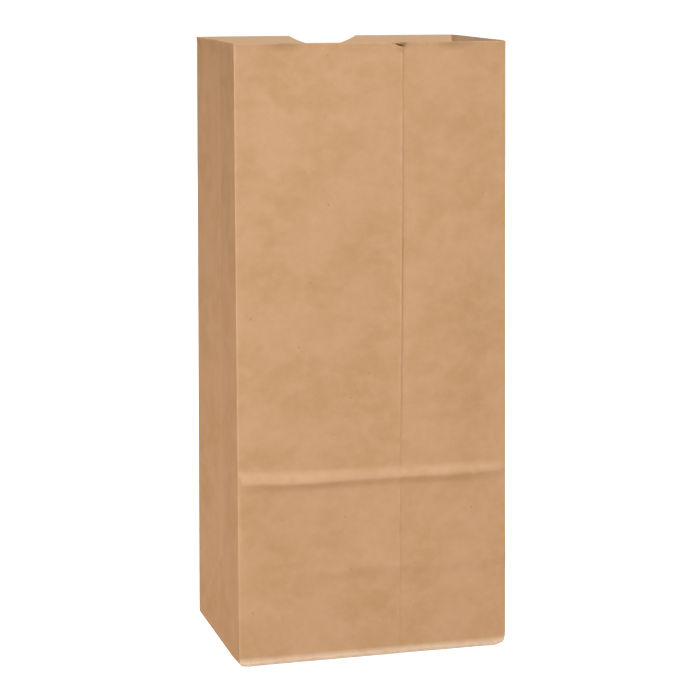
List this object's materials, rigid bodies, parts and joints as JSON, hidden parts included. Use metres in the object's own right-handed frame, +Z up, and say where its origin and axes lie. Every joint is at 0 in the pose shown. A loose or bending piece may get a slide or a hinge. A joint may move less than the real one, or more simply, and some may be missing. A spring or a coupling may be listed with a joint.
{
  "type": "brown paper lunch bag",
  "caption": "Tall self-opening brown kraft paper bag, standing open, with side gussets, a glued seam, a thumb notch and a flat folded bottom.",
  "frame": {"origin": "on the surface the bag stands on, under the middle of the bag", "axes": "+Z up from the bottom to the open mouth, +X across the front and back panels with the front panel's left at -X, +Y from the front panel, which has the glued seam, to the back panel, which has the thumb notch"},
  "size_m": [0.155, 0.1065, 0.34],
  "materials": {
    "kraft_paper": "unbleached brown kraft paper, matt, finely fibrous and slightly cloudy, with soft creases where it was folded flat"
  },
  "bodies": {
    "root": {"paper_bag": "kraft_paper"}
  },
  "joints": []
}
